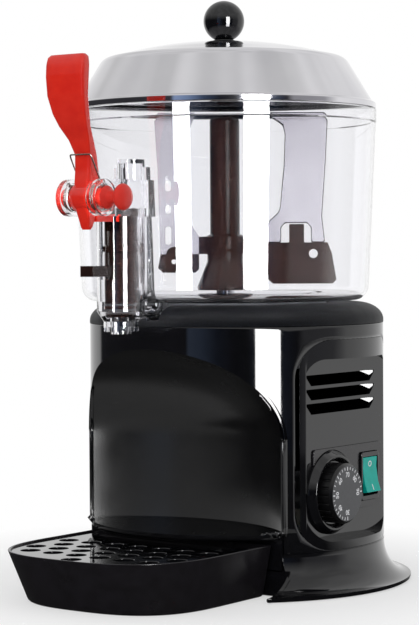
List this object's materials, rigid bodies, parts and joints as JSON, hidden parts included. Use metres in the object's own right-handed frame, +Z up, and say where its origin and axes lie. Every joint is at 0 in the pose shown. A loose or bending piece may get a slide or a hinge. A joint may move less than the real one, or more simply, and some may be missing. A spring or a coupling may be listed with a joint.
{
  "type": "hot chocolate dispenser",
  "caption": "Countertop hot chocolate dispenser: heated body with cup niche, clear stirred bowl, lever tap, steel lid and drip tray.",
  "frame": {"origin": "centre of the bounding box on the worktop, under the machine", "axes": "+Z up, -Y towards the cup niche and tap, +X towards the control panel"},
  "size_m": [0.2808, 0.3659, 0.465],
  "materials": {
    "gloss_black_abs": "gloss",
    "satin_black_abs": "satin",
    "deck_black": "fine texture",
    "polished_steel": "polished",
    "steel_sheet": "satin",
    "zinc_screws": "zinc plated",
    "spring_steel": "drawn wire",
    "clear_polycarbonate": "clear moulded",
    "clear_blade": "clear moulded",
    "red_abs": "gloss",
    "brown_acetal": "satin",
    "green_rocker": "gloss",
    "black_rubber": "matte",
    "silicone_gasket": "matte",
    "bronze_bush": "machined",
    "motor_grey": "satin",
    "heater_alloy": "dull",
    "cream_block": "satin"
  },
  "bodies": {
    "casing": {"base_skirt": "gloss_black_abs", "base_plate": "steel_sheet", "feet": "black_rubber", "foot_screws": "zinc_screws", "body_shell": "gloss_black_abs", "niche_liner": "gloss_black_abs", "control_panel": "gloss_black_abs", "control_plate": "satin_black_abs", "switch_bezel": "gloss_black_abs", "switch_body": "satin_black_abs", "dial_ring": "gloss_black_abs", "thermostat_body": "steel_sheet", "deck_collar": "deck_black", "deck_screws": "zinc_screws", "water_bath": "steel_sheet", "heating_element": "heater_alloy", "heated_dish": "steel_sheet", "bowl_gasket": "silicone_gasket", "gear_motor": "motor_grey", "motor_bracket": "steel_sheet", "motor_screws": "zinc_screws", "shaft_bush": "bronze_bush", "shaft_seal": "black_rubber", "safety_thermostat": "steel_sheet", "terminal_block": "cream_block", "cord_gland": "black_rubber"},
    "shaft": {"drive_shaft": "steel_sheet"},
    "rocker": {"switch_rocker": "green_rocker"},
    "thermostat_dial": {"dial": "satin_black_abs"},
    "container": {"bowl": "clear_polycarbonate", "tap_housing": "clear_polycarbonate", "hinge_pin": "red_abs"},
    "lever": {"tap_lever": "red_abs", "return_spring": "spring_steel"},
    "piston": {"tap_piston": "brown_acetal", "piston_seals": "black_rubber"},
    "lid": {"lid_cover": "polished_steel", "ball_knob": "gloss_black_abs", "knob_screw": "zinc_screws"},
    "stirrer": {"stirrer_column": "brown_acetal", "blade_right": "clear_blade", "blade_left": "clear_blade", "scraper_right": "brown_acetal", "scraper_left": "brown_acetal"},
    "tray": {"drip_tray": "satin_black_abs"},
    "grille": {"tray_grille": "gloss_black_abs"}
  },
  "joints": [
    {"name": "bowl_lift", "type": "slide", "parent": "casing", "child": "container", "axis": [0, 0, 1], "range_m": [0, 0.14]},
    {"name": "stirrer_turn", "type": "hinge", "parent": "container", "child": "stirrer", "pos_m": [0, 0.0271, 0.3], "axis": [0, 0, 1], "continuous": true},
    {"name": "shaft_turn", "type": "hinge", "parent": "casing", "child": "shaft", "pos_m": [0, 0.0271, 0.25], "axis": [0, 0, 1], "continuous": true},
    {"name": "lid_lift", "type": "slide", "parent": "container", "child": "lid", "axis": [0, 0, 1], "range_m": [0, 0.12]},
    {"name": "lever_pull", "type": "hinge", "parent": "container", "child": "lever", "pos_m": [0, -0.1477, 0.3044], "axis": [1, 0, 0], "range_deg": [0, 25], "stiffness_Nm_per_rad": 0.8, "springref_deg": -14.32, "deforming": ["return_spring"]},
    {"name": "piston_lift", "type": "slide", "parent": "container", "child": "piston", "axis": [0, 0, 1], "range_m": [0, 0.0175]},
    {"name": "dial_turn", "type": "hinge", "parent": "casing", "child": "thermostat_dial", "pos_m": [0.11, 0.0186, 0.077], "axis": [1, 0, 0], "range_deg": [0, 270]},
    {"name": "rocker_press", "type": "hinge", "parent": "casing", "child": "rocker", "pos_m": [0.1015, 0.0733, 0.0853], "axis": [0, 1, 0], "range_deg": [0, 16]},
    {"name": "tray_pull", "type": "slide", "parent": "casing", "child": "tray", "axis": [0, -1, 0], "range_m": [0, 0.16]},
    {"name": "grille_lift", "type": "slide", "parent": "tray", "child": "grille", "axis": [0, 0, 1], "range_m": [0, 0.08]}
  ],
  "couplings": [
    {"joint": "shaft_turn", "follows": "stirrer_turn", "ratio": 1},
    {"joint": "piston_lift", "follows": "lever_pull", "m_per_rad": 0.0395}
  ]
}
